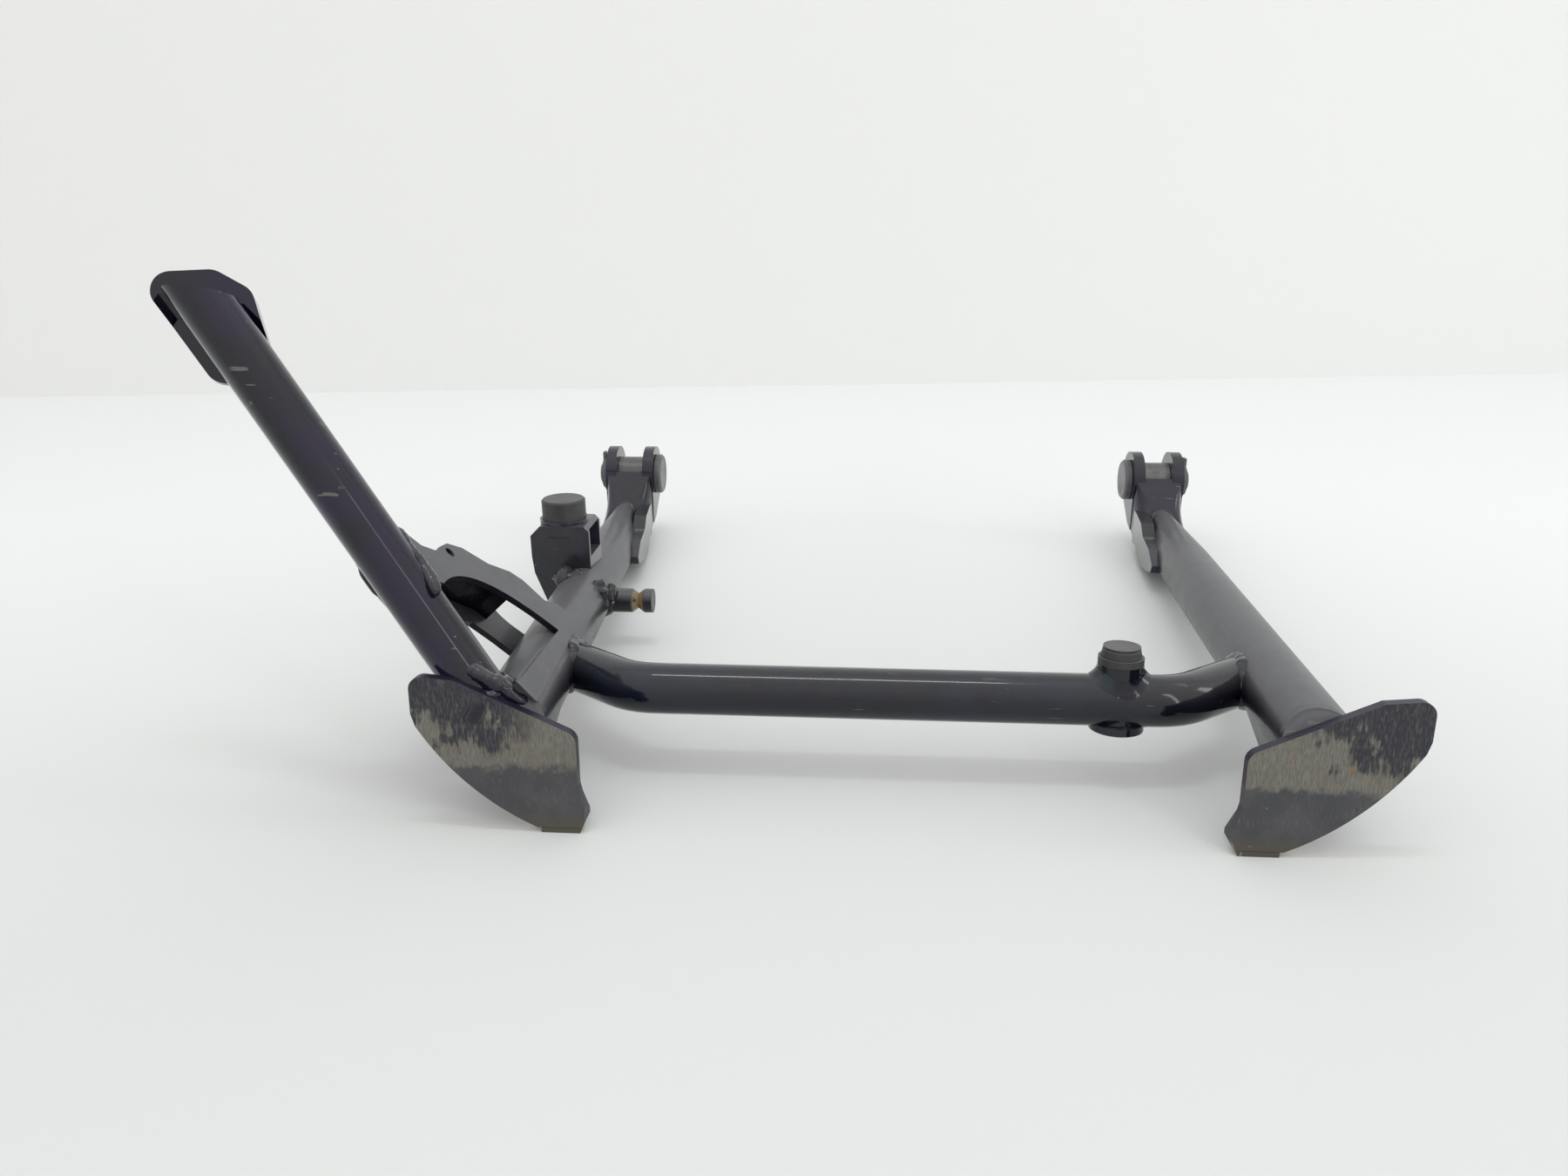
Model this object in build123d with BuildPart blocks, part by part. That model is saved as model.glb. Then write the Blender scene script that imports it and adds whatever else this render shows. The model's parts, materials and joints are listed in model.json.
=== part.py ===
"""Centre stand of a motorcycle: two legs with feet, pivot clevises, a kick arm and two rubber stops.

Origin: the middle of the pivot axis, with the stand lying flat as it does on a bench.
Axes: +X along the pivot axis, away from the kick arm, +Y from the feet to the pivots, +Z up.
Heights named "height" are measured from the bench. Lengths are in millimetres, angles in degrees.
"""
from build123d import *
import os
from math import cos, radians, sin, tan

os.makedirs("parts", exist_ok=True)

# Overall layout
pivot_height = 42.0
clevis_spacing = 339.4
leg_slope = 4.2
leg_toe_in = 4.78

# Legs
leg_radius = 14.0
leg_wall = 2.5
leg_end_offset = 1.7
leg_end_y = -26.0
pinch_end_y = -40.0
pinch_start_y = -118.0
pinch_height = 30.0

# Cross tube between the legs
cross_tube_y = -322.3
cross_tube_drop = 2.0
cross_tube_radius = 10.2
cross_tube_wall = 2.0
cross_tube_corner_inset = 39.6
cross_tube_joint_y = -287.0
cross_tube_bend_radius = 25.0

# Clevises
ear_thickness = 6.6
ear_radius = 18.0
clevis_gap = 17.4
ear_foot_y = 10.0
ear_foot_height = 27.0
ear_heel_rise = 2.0
hood_back_y = -16.0
hood_step = 0.4
hood_top_height = 47.0
hood_bottom_height = 13.0
hood_sheet = 3.2
hood_roof = 5.12
collar_top_y = -28.0
collar_top_height = 32.0
collar_top_width = 13.4
collar_bottom_y = -45.0
collar_bottom_height = 11.0
collar_bottom_width = 33.6
tongue_inner_offset = 9.5
tongue_outer_offset = 17.0
weld_face_gap = 0.02
weld_overlap = 0.5

# Pivot pins, distance bushes, washers and retaining clips
pin_radius = 7.0
pin_clearance = 0.05
pin_head_radius = 12.7
pin_head_thickness = 4.3
pin_chamfer = 1.2
side_clearance = 0.3
bush_radius = 11.0
bush_side_clearance = 0.2
washer_radius = 11.5
washer_thickness = 2.4
clip_radius = 9.6
clip_thickness = 1.6
clip_mouth = 5.0
clip_lug_height = 14.5
clip_lug_width = 5.0
groove_radius = 5.6
pin_tip_length = 1.6

# Feet: widths are measured from the leg's axis, inboard and outboard
sole_front_y = -376.8
sole_thickness = 4.0
sole_inner_width = 24.7
sole_inner_height = 38.4
sole_flare = 2.0
sole_top_width = 18.5
sole_top_height = 58.2
sole_outer_width = 35.2
sole_outer_height = 59.7
sole_side_height = 45.0
sole_arc_width = 33.9
sole_arc_height = 40.5
sole_arc_start = -9.0
sole_arc_sagitta = 4.4
sole_corner_radius = 5.0
sole_lip_width = 14.3
sole_lip_length = 12.0
sole_lip_thickness = 2.0
side_flange_start = 1.0
side_flange_length = 16.0
side_flange_height = 19.0
side_flange_thickness = 3.0
rib_thickness = 4.0
rib_offset = 5.0
rib_start_y = -296.0
rib_foot_height = 7.0

# Kick arm and pedal
arm_radius = 9.8
arm_wall = 2.3
arm_base_y = -363.0
arm_base_offset = 6.2
arm_base_rise = 1.8
arm_spread = 98.2
arm_reach_back = 27.6
arm_rise = 140.8
arm_root_overlap = 3.0
arm_end_length = 8.0
arm_end_skew = 0.8
pedal_plate_thickness = 3.0
pedal_rim_height = 7.5
pedal_rim_lean = 45.0
pedal_turn = -42.4
pedal_corner_radius = 7.0

# Gusset between the kick arm and the left leg
gusset_sheet = 2.5
gusset_stand_off = 0.6
gusset_station_y = -321.3
gusset_front_angle = -47.5
gusset_rear_angle = 125.5
gusset_hole_centre = (3.0, 59.6)
gusset_hole_radius = 2.2
gusset_depth = 30.0

# Bracket and large rubber stop on the left leg: widths are measured from the leg's axis
bracket_front_y = -193.5
bracket_sheet = 2.0
bracket_outer_width = 26.4
bracket_inner_width = -3.6
bracket_top_height = 61.8
bracket_foot_height = 18.0
bracket_foot_width = 19.1
bracket_heel_height = 22.0
bracket_heel_width = 19.9
bracket_waist_height = 37.3
bracket_waist_width = 25.5
bracket_inner_foot_height = 38.0
bracket_corner = 5.0
main_stop_radius = 11.0
main_stop_offset = 11.5
main_stop_top_height = 73.5
main_stop_base_height = 46.0
stop_cup_wall = 1.2
stop_slot_width = 10.8
stop_slot_height = 56.3
stop_slot_depth = 1.2
stop_cup_rise = 1.7
stop_seat_clearance = 0.15
stop_chamfer = 0.8

# Spring post on the left leg: lengths are measured inboard from the leg's axis
spring_post_y = -194.0
spring_post_height = 23.6
spring_post_radius = 6.1
spring_post_neck_radius = 3.8
spring_post_neck_start = 24.3
spring_post_neck_end = 30.8
spring_post_length = 35.0

# Boss and small rubber stop on the cross tube
small_stop_x = 84.0
boss_radius = 8.6
boss_foot_radius = 10.5
boss_top_height = 49.0
boss_foot_height = 22.3
boss_foot_thickness = 3.0
small_stop_rim_radius = 8.7
small_stop_rim_height = 2.7
small_stop_body_radius = 7.8
small_stop_tip_radius = 7.1
small_stop_top_height = 55.3
small_stop_pip_radius = 1.2
small_stop_pip_height = 0.6

# Derived lengths, planes and directions
floor_z = -pivot_height
half_spacing = clevis_spacing / 2
inner_ear_x = half_spacing - clevis_gap / 2 - ear_thickness
outer_ear_x = half_spacing + clevis_gap / 2
clevis_outside_x = outer_ear_x + ear_thickness
leg_end_x = half_spacing + leg_end_offset
leg_end_z = floor_z + leg_radius
up = Vector(0, sin(radians(leg_slope)), cos(radians(leg_slope)))


def leg_point(y):
    """Point on the right leg's axis at the given distance along Y."""
    x = leg_end_x - (leg_end_y - y) * tan(radians(leg_toe_in))
    z = leg_end_z + (leg_end_y - y) * tan(radians(leg_slope))
    return Vector(x, y, z)


def mirrored(point):
    """The same point or direction on the left side."""
    return Vector(-point.X, point.Y, point.Z)


leg_direction = (leg_point(sole_front_y) - leg_point(leg_end_y)).normalized()
outboard = up.cross(leg_direction)
foot_x = leg_point(sole_front_y).X
sole_plane = Plane(
    origin=(foot_x, sole_front_y, floor_z),
    x_dir=(1, 0, 0),
    z_dir=(0, -cos(radians(leg_slope)), sin(radians(leg_slope))),
)
sole_back = sole_plane.offset(-sole_thickness)


def leg_section(y):
    """Plane across the right leg, with its x axis outboard and its y axis up."""
    return Plane(origin=leg_point(y), x_dir=outboard, z_dir=leg_direction)


def leg_solid(inset):
    """The right leg as a solid bar, each face set in by the given amount: round, pinched at its top."""
    half_width = clevis_gap / 2 - weld_face_gap - inset
    half_height = pinch_height / 2 - inset
    rise = pinch_height / 2 - leg_radius
    length = pinch_start_y - sole_front_y + 4 * sole_thickness
    with BuildPart() as bar:
        with BuildSketch(leg_section(pinch_start_y)) as round_end:
            Circle(leg_radius - inset)
        extrude(amount=length)
        sections = [round_end.sketch]
        for y in (pinch_end_y, leg_end_y):
            with BuildSketch(leg_section(y)) as oval:
                with Locations((half_spacing - leg_point(y).X, rise)):
                    Ellipse(half_width, half_height)
            sections.append(oval.sketch)
        loft(sections=sections[:2])
        loft(sections=sections[1:])
    return bar.part


leg_bar = leg_solid(0.0)
left_leg_bar = leg_bar.mirror(Plane.YZ)

# The plane that bevels the legs' front ends down to the soles' sloping top edge
edge_start = sole_back.from_local_coords(Vector(-sole_inner_width, sole_inner_height, 0))
edge_end = sole_back.from_local_coords(Vector(sole_top_width, sole_top_height, 0))
edge_direction = (edge_end - edge_start).normalized()
bevel_plane = Plane(
    origin=edge_start,
    x_dir=edge_direction,
    z_dir=sole_plane.z_dir + sole_plane.z_dir.cross(edge_direction),
)

# Legs: hollow tubes that end on the back of the soles and are closed where they are bevelled
with BuildPart() as leg_bore:
    add(leg_solid(leg_wall))
    split(bisect_by=bevel_plane.offset(-leg_wall), keep=Keep.BOTTOM)

with BuildPart() as leg_right:
    add(leg_bar)
    add(leg_bore.part, mode=Mode.SUBTRACT)
    split(bisect_by=sole_back, keep=Keep.BOTTOM)
    split(bisect_by=bevel_plane, keep=Keep.BOTTOM)

with BuildPart() as leg_left:
    mirror(leg_right.part, about=Plane.YZ)

# Cross tube: straight in the middle, swept back at both ends to meet the legs
cross_plane = Plane(
    origin=Vector(0, 0, leg_point(0).Z) - up * cross_tube_drop, x_dir=(1, 0, 0), z_dir=up
)
corner_x = leg_point(cross_tube_y).X - cross_tube_corner_inset
joint_x = leg_point(cross_tube_joint_y).X
with BuildPart() as cross_tube:
    with BuildLine(cross_plane) as cross_path:
        FilletPolyline(
            (-joint_x, cross_tube_joint_y),
            (-corner_x, cross_tube_y),
            (corner_x, cross_tube_y),
            (joint_x, cross_tube_joint_y),
            radius=cross_tube_bend_radius,
        )
    with BuildSketch(Plane(origin=cross_path.line @ 0, z_dir=cross_path.line % 0)):
        Circle(cross_tube_radius)
        Circle(cross_tube_radius - cross_tube_wall, mode=Mode.SUBTRACT)
    sweep(path=cross_path.line)
    add(leg_bar, mode=Mode.SUBTRACT)
    add(left_leg_bar, mode=Mode.SUBTRACT)

# Boss through the cross tube, with a wider foot below the tube
boss_centre = cross_plane.from_local_coords(Vector(small_stop_x, cross_tube_y, 0))
boss_plane = Plane(origin=boss_centre, x_dir=(1, 0, 0), z_dir=up)
boss_top = boss_top_height + floor_z - boss_centre.Z
boss_bottom = boss_foot_height + floor_z - boss_centre.Z
with BuildPart() as stop_boss:
    with BuildSketch(boss_plane.offset(boss_bottom)):
        Circle(boss_foot_radius)
    extrude(amount=boss_foot_thickness)
    with BuildSketch(boss_plane.offset(boss_bottom)):
        Circle(boss_radius)
    extrude(amount=boss_top - boss_bottom)
cross_tube.part = cross_tube.part - stop_boss.part

# Small rubber stop: a rim, a tapered body and a moulding pip
stop_height = small_stop_top_height - boss_top_height
with BuildPart() as small_stop:
    with BuildSketch(boss_plane.offset(boss_top)):
        Circle(small_stop_rim_radius)
    extrude(amount=small_stop_rim_height)
    with BuildSketch(boss_plane.offset(boss_top + small_stop_rim_height)) as body_base:
        Circle(small_stop_body_radius)
    with BuildSketch(boss_plane.offset(boss_top + stop_height)) as body_tip:
        Circle(small_stop_tip_radius)
    loft(sections=[body_base.sketch, body_tip.sketch])
    chamfer(small_stop.edges().sort_by(Axis.Z)[-1], length=stop_chamfer)
    with BuildSketch(boss_plane.offset(boss_top + stop_height)):
        Circle(small_stop_pip_radius)
    extrude(amount=small_stop_pip_height)

# Clevises: two ears, a hood between them that narrows to a collar over the leg's end, and a tongue
# along the leg's inboard side
collar_y = (collar_top_y + collar_bottom_y) / 2
collar_height = (collar_top_height + collar_bottom_height) / 2
collar_rise = Vector(0, collar_top_y - collar_bottom_y, collar_top_height - collar_bottom_height)
collar_plane = Plane(
    origin=(half_spacing, collar_y, floor_z + collar_height),
    x_dir=(1, 0, 0),
    z_dir=Vector(1, 0, 0).cross(collar_rise),
)
hood_plane = Plane(
    origin=(half_spacing, hood_back_y, floor_z + hood_bottom_height), x_dir=(1, 0, 0), z_dir=(0, -1, 0)
)
clevis_width = clevis_gap + 2 * ear_thickness
hood_height = hood_top_height - hood_bottom_height
collar_half_length = collar_rise.length / 2


def hood_solid(half_back, top_inset, collar_inset, depth, reach):
    """The clevis hood as a solid, set in by the given amounts and reaching further down."""
    half_top = collar_top_width / 2 - collar_inset
    half_bottom = collar_bottom_width / 2 - collar_inset
    with BuildPart() as solid:
        with BuildSketch(hood_plane) as back:
            with BuildLine():
                Polyline(
                    (-half_back, -reach),
                    (half_back, -reach),
                    (half_back, hood_height - top_inset),
                    (-half_back, hood_height - top_inset),
                    close=True,
                )
            make_face()
        with BuildSketch(collar_plane.offset(-depth)) as collar:
            with BuildLine():
                Polyline(
                    (-half_bottom, -collar_half_length - 2 * reach),
                    (half_bottom, -collar_half_length - 2 * reach),
                    (half_top, collar_half_length - depth / 2),
                    (-half_top, collar_half_length - depth / 2),
                    close=True,
                )
            make_face()
        loft(sections=[back.sketch, collar.sketch], ruled=True)
    return solid.part


hood = hood_solid(clevis_width / 2 - hood_step, hood_step, 0, 0, 0)
hood_inside = hood_solid(
    clevis_gap / 2 - hood_step, hood_step + hood_roof, hood_sheet, hood_sheet, hood_sheet
)
ear_outline = [
    (0, 0),
    (hood_back_y, hood_top_height - pivot_height),
    (hood_back_y - weld_overlap, hood_top_height - pivot_height),
    (hood_back_y - weld_overlap, hood_bottom_height - pivot_height),
    (ear_foot_y - ear_radius, hood_bottom_height - pivot_height + ear_heel_rise),
    (ear_foot_y, ear_foot_height - pivot_height),
]
# Distances along the leg from its end, and heights above its axis
tongue_outline = [
    (0, -6.0), (14.0, -5.5), (20.0, -9.0), (29.0, -11.8), (50.0, -11.4), (77.0, -7.1),
    (81.0, -2.0), (65.0, 4.0), (41.0, 6.0), (30.0, 12.0), (10.0, 14.0), (0, 14.0),
]
tongue_plane = Plane(
    origin=leg_point(leg_end_y) - outboard * tongue_inner_offset, x_dir=leg_direction, z_dir=-outboard
)
with BuildPart() as clevis_right:
    with BuildSketch(Plane.YZ.offset(inner_ear_x)) as ear:
        Circle(ear_radius)
        with BuildLine():
            Polyline(*ear_outline, close=True)
        make_face()
    extrude(amount=clevis_width)
    with BuildSketch(Plane.YZ.offset(outer_ear_x)):
        Circle(2 * ear_radius)
    extrude(amount=-clevis_gap, mode=Mode.SUBTRACT)
    add(hood)
    add(hood_inside, mode=Mode.SUBTRACT)
    with BuildSketch(tongue_plane):
        with BuildLine():
            Polyline(*tongue_outline, close=True)
        make_face()
    extrude(amount=tongue_outer_offset - tongue_inner_offset)
    add(leg_bar, mode=Mode.SUBTRACT)
    with BuildSketch(Plane.YZ.offset(inner_ear_x)):
        Circle(pin_radius)
    extrude(amount=clevis_width, mode=Mode.SUBTRACT)

with BuildPart() as clevis_left:
    mirror(clevis_right.part, about=Plane.YZ)

# Pivot pin: a flat head inboard, a shaft through both ears and a groove for the clip
head_face_x = inner_ear_x - side_clearance
washer_face_x = clevis_outside_x + side_clearance
groove_x = washer_face_x + washer_thickness
pin_end_x = groove_x + clip_thickness + pin_tip_length
with BuildPart() as pivot_pin_right:
    with BuildSketch(Plane.YZ.offset(head_face_x - pin_head_thickness)):
        Circle(pin_head_radius)
    extrude(amount=pin_head_thickness)
    chamfer(pivot_pin_right.edges().group_by(Axis.X)[0], length=pin_chamfer)
    with BuildSketch(Plane.YZ.offset(head_face_x)):
        Circle(pin_radius - pin_clearance)
    extrude(amount=pin_end_x - head_face_x)
    chamfer(pivot_pin_right.edges().group_by(Axis.X)[-1], length=pin_tip_length / 2)
    with BuildSketch(Plane.YZ.offset(groove_x)):
        Circle(pin_radius)
        Circle(groove_radius, mode=Mode.SUBTRACT)
    extrude(amount=clip_thickness, mode=Mode.SUBTRACT)

with BuildPart() as distance_bush_right:
    with BuildSketch(Plane.YZ.offset(inner_ear_x + ear_thickness + bush_side_clearance)):
        Circle(bush_radius)
        Circle(pin_radius, mode=Mode.SUBTRACT)
    extrude(amount=clevis_gap - 2 * bush_side_clearance)

with BuildPart() as washer_right:
    with BuildSketch(Plane.YZ.offset(washer_face_x)):
        Circle(washer_radius)
        Circle(pin_radius, mode=Mode.SUBTRACT)
    extrude(amount=washer_thickness)

# Retaining clip: an open ring in the pin's groove with a lug that stands up above the washer
with BuildPart() as retaining_clip_right:
    with BuildSketch(Plane.YZ.offset(groove_x)):
        Circle(clip_radius)
        with Locations((0, clip_lug_height / 2)):
            Rectangle(clip_lug_width, clip_lug_height)
        Circle(groove_radius, mode=Mode.SUBTRACT)
        with Locations((0, -clip_radius)):
            Rectangle(clip_mouth, clip_radius * 2, mode=Mode.SUBTRACT)
    extrude(amount=clip_thickness)

with BuildPart() as pivot_pin_left:
    mirror(pivot_pin_right.part, about=Plane.YZ)
with BuildPart() as distance_bush_left:
    mirror(distance_bush_right.part, about=Plane.YZ)
with BuildPart() as washer_left:
    mirror(washer_right.part, about=Plane.YZ)
with BuildPart() as retaining_clip_left:
    mirror(retaining_clip_right.part, about=Plane.YZ)

# Foot soles: a plate across the end of each leg with a rolling edge outboard, a lip and a side flange
# inboard
with BuildPart() as foot_sole_right:
    with BuildSketch(sole_plane) as sole_outline:
        with BuildLine():
            Polyline(
                (sole_arc_width, sole_arc_height),
                (sole_outer_width, sole_side_height),
                (sole_outer_width, sole_outer_height),
                (sole_top_width, sole_top_height),
                (-sole_inner_width, sole_inner_height),
                (-sole_inner_width, side_flange_height),
                (-sole_inner_width - sole_flare, side_flange_height / 2),
                (-sole_inner_width - sole_flare, side_flange_height / 4),
                (-sole_inner_width, 0),
                (-sole_inner_width + sole_lip_width, 0),
                (-sole_inner_width + sole_lip_width, sole_lip_thickness),
                (sole_arc_start, sole_lip_thickness),
            )
            SagittaArc(
                (sole_arc_start, sole_lip_thickness), (sole_arc_width, sole_arc_height), -sole_arc_sagitta
            )
        make_face()
        for corner in (
            (-sole_inner_width, sole_inner_height),
            (sole_outer_width, sole_outer_height),
        ):
            fillet(sole_outline.vertices().sort_by_distance(corner)[0], radius=sole_corner_radius)
    extrude(amount=-sole_thickness)
    with BuildSketch(Plane.YZ.offset(foot_x - sole_inner_width)):
        with BuildLine():
            Polyline(
                (sole_front_y + side_flange_start, floor_z),
                (sole_front_y + side_flange_length, floor_z),
                (sole_front_y + side_flange_length, floor_z + sole_lip_thickness),
                (sole_front_y + sole_thickness, floor_z + side_flange_height),
                close=True,
            )
        make_face()
    extrude(amount=side_flange_thickness)
    with BuildSketch(Plane.XY.offset(floor_z)):
        with Locations((foot_x - sole_inner_width, sole_front_y)):
            Rectangle(sole_lip_width, sole_lip_length, align=(Align.MIN, Align.MIN))
    extrude(amount=sole_lip_thickness)
    split(bisect_by=Plane.XY.offset(floor_z), keep=Keep.TOP)

with BuildPart() as foot_sole_left:
    mirror(foot_sole_right.part, about=Plane.YZ)

# Ribs: upright plates under the legs that run out onto the backs of the soles
rib_plane = Plane(
    origin=leg_point(rib_start_y) - outboard * rib_offset, x_dir=leg_direction, z_dir=-outboard
)
rib_length = (rib_start_y - sole_front_y) / cos(radians(leg_slope))
rib_foot_drop = leg_point(sole_front_y).Z - floor_z - rib_foot_height
with BuildPart() as foot_rib_right:
    with BuildSketch(rib_plane):
        with BuildLine():
            Polyline(
                (0, -leg_radius / 2),
                (rib_length, -leg_radius / 2),
                (rib_length, -rib_foot_drop),
                (0, -leg_radius),
                close=True,
            )
        make_face()
    extrude(amount=rib_thickness / 2, both=True)
    add(leg_bar, mode=Mode.SUBTRACT)
    split(bisect_by=sole_back, keep=Keep.BOTTOM)

with BuildPart() as foot_rib_left:
    mirror(foot_rib_right.part, about=Plane.YZ)

# Kick arm: a tube coped onto the left leg and the back of its sole, cut askew under the pedal's rim
arm_base = mirrored(leg_point(arm_base_y)) + Vector(-arm_base_offset, 0, arm_base_rise)
arm_vector = Vector(-arm_spread, arm_reach_back, arm_rise)
arm_tip = arm_base + arm_vector
arm_length = arm_vector.length
arm_direction = arm_vector.normalized()
arm_level = arm_direction.cross(Vector(0, 0, 1)).normalized()
arm_lift = arm_level.cross(arm_direction)
pedal_back = arm_level * cos(radians(pedal_turn)) + arm_lift * sin(radians(pedal_turn))
pedal_plane = Plane(origin=arm_tip + pedal_back * arm_radius, x_dir=arm_direction, z_dir=-pedal_back)


def arm_solid(radius, start, end):
    """A round bar along the kick arm, from start to end measured from the arm's base."""
    with BuildPart() as bar:
        with BuildSketch(Plane(origin=arm_base + arm_direction * start, z_dir=arm_direction)):
            Circle(radius)
        extrude(amount=end - start)
    return bar.part


arm_bar = arm_solid(arm_radius, -arm_root_overlap, arm_length + 2 * arm_radius)
arm_bore = arm_solid(arm_radius - arm_wall, 0, arm_length - arm_radius)
arm_end_plane = Plane(
    origin=arm_tip + arm_direction * arm_end_length,
    z_dir=arm_direction - pedal_plane.y_dir * arm_end_skew,
)

# Pedal: a dished plate behind the arm's end with a rim turned forward along its top and far side
# Corners of the plate and of its dish: distances along the arm from its tip, and across it
pedal_corners = [
    (-22.2, 8.0), (-17.5, 13.8), (17.0, 14.4), (23.4, 8.6), (14.5, -9.0), (2.0, -15.6), (-17.5, -9.5),
]
dish_corners = [
    (-60.0, 40.0), (2.0, 40.0), (16.0, 11.5), (14.0, 7.0), (-1.0, -10.5), (-60.0, -22.0),
]
with BuildPart() as pedal_plate:
    with BuildSketch(pedal_plane.offset(-pedal_plate_thickness)) as pedal_outline:
        with BuildLine():
            Polyline(*pedal_corners, close=True)
        make_face()
        fillet(pedal_outline.vertices(), radius=pedal_corner_radius)
    extrude(amount=pedal_plate_thickness + pedal_rim_height)
    with BuildSketch(pedal_plane.offset(pedal_rim_height)):
        with BuildLine():
            Polyline(*dish_corners, close=True)
        make_face()
    extrude(amount=-pedal_rim_height, taper=pedal_rim_lean, mode=Mode.SUBTRACT)

with BuildPart() as kick_arm:
    add(arm_bar)
    split(bisect_by=arm_end_plane, keep=Keep.BOTTOM)
    add(arm_bore, mode=Mode.SUBTRACT)
    add(left_leg_bar, mode=Mode.SUBTRACT)
    add(foot_sole_left.part, mode=Mode.SUBTRACT)
    add(pedal_plate.part, mode=Mode.SUBTRACT)

# Gusset between the arm and the left leg: a front sheet with a folded top edge, and a rear sheet
left_direction = mirrored(leg_direction)
left_outboard = mirrored(outboard)
gusset_station = mirrored(leg_point(gusset_station_y))


def gusset_normal(angle):
    """Direction from the left leg's axis, turned outboard from straight up by the angle."""
    return up * cos(radians(angle)) + left_outboard * sin(radians(angle))


front_normal = gusset_normal(gusset_front_angle)
rear_normal = gusset_normal(gusset_rear_angle)
gusset_front_plane = Plane(
    origin=gusset_station + front_normal * (leg_radius + gusset_stand_off),
    x_dir=left_direction,
    z_dir=-front_normal,
)
gusset_rear_plane = Plane(
    origin=gusset_station + rear_normal * (leg_radius + gusset_stand_off),
    x_dir=left_direction,
    z_dir=rear_normal,
)
# Outlines: distances along the leg towards the foot, and heights up the sheet
rear_sheet_outline = [
    (-38.0, 0), (-33.2, 7.5), (-26.1, 19.6), (-17.7, 31.9), (31.1, 58.3), (31.0, 68.6), (27.2, 78.7),
    (23.0, 78.0), (12.0, 67.0), (-8.0, 60.0), (-38.0, 47.0), (-51.0, 38.0),
]
rear_sheet_arc = [(-51.0, 38.0), (-47.0, 27.0), (-52.6, 15.0), (-62.0, 0)]
front_sheet_outline = [
    (30.4, 52.6), (36.0, 60.0), (30.0, 83.0), (22.8, 81.9), (18.6, 68.4), (11.0, 62.7), (7.4, 63.8),
    (-1.6, 63.0), (-9.9, 57.8), (-18.1, 46.2), (-29.8, 37.5), (-33.6, 31.0), (-34.7, 18.6),
    (-42.6, 12.8), (-46.4, 5.0), (-46.4, 0), (56.5, 0), (56.5, 5.0), (59.9, 10.3), (69.7, 17.4),
    (62.0, 21.0), (51.8, 10.6), (42.9, 9.4), (-20.3, 6.6),
]
front_sheet_arch = [(-20.3, 6.6), (-10.2, 29.1), (1.8, 43.4), (30.4, 52.6)]
fold_line = [(21.0, 66.0), (4.0, 56.6), (-9.0, 55.6), (-18.1, 46.2), (-29.8, 37.5), (-33.6, 31.0)]
with BuildPart() as gusset_rear:
    with BuildSketch(gusset_rear_plane):
        with BuildLine():
            Polyline(*rear_sheet_outline)
            Spline(*rear_sheet_arc)
            Line(rear_sheet_arc[-1], rear_sheet_outline[0])
        make_face()
    extrude(amount=-gusset_sheet)
    add(left_leg_bar, mode=Mode.SUBTRACT)
    add(arm_bar, mode=Mode.SUBTRACT)

with BuildPart() as gusset_front:
    with BuildSketch(gusset_front_plane):
        with BuildLine():
            Polyline(*front_sheet_outline)
            Spline(*front_sheet_arch)
        make_face()
        with Locations(gusset_hole_centre):
            Circle(gusset_hole_radius, mode=Mode.SUBTRACT)
    extrude(amount=gusset_sheet)
    with BuildSketch(gusset_front_plane):
        with BuildLine():
            Polyline(*fold_line)
            offset(amount=gusset_sheet, side=Side.LEFT)
        make_face()
    extrude(amount=gusset_depth)
    split(bisect_by=gusset_rear_plane.offset(-gusset_sheet), keep=Keep.BOTTOM)
    split(bisect_by=sole_back, keep=Keep.BOTTOM)
    add(left_leg_bar, mode=Mode.SUBTRACT)
    add(arm_bar, mode=Mode.SUBTRACT)
    add(cross_tube.part, mode=Mode.SUBTRACT)

# Bracket for the large stop: a folded box open on its inboard side, with a shelf and a cup in which
# the stop stands
cup_radius = main_stop_radius + stop_seat_clearance + stop_cup_wall
cup_depth = bracket_top_height + stop_cup_rise - main_stop_base_height
bracket_depth = 2 * cup_radius
bracket_origin = mirrored(leg_point(bracket_front_y))
bracket_plane = Plane(
    origin=(bracket_origin.X, bracket_front_y, floor_z), x_dir=(-1, 0, 0), z_dir=(0, 1, 0)
)
shelf_z = floor_z + main_stop_base_height
stop_centre = (bracket_origin.X - main_stop_offset, bracket_front_y + cup_radius)
bracket_outline = [
    (0, bracket_foot_height),
    (bracket_foot_width, bracket_foot_height),
    (bracket_heel_width, bracket_heel_height),
    (bracket_waist_width, bracket_waist_height),
    (bracket_outer_width, main_stop_base_height),
    (bracket_outer_width, bracket_top_height - bracket_corner),
    (bracket_outer_width - bracket_corner, bracket_top_height),
    (bracket_inner_width + bracket_corner / 2, bracket_top_height),
    (bracket_inner_width, bracket_top_height - bracket_corner / 2),
    (bracket_inner_width, bracket_inner_foot_height),
]
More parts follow.
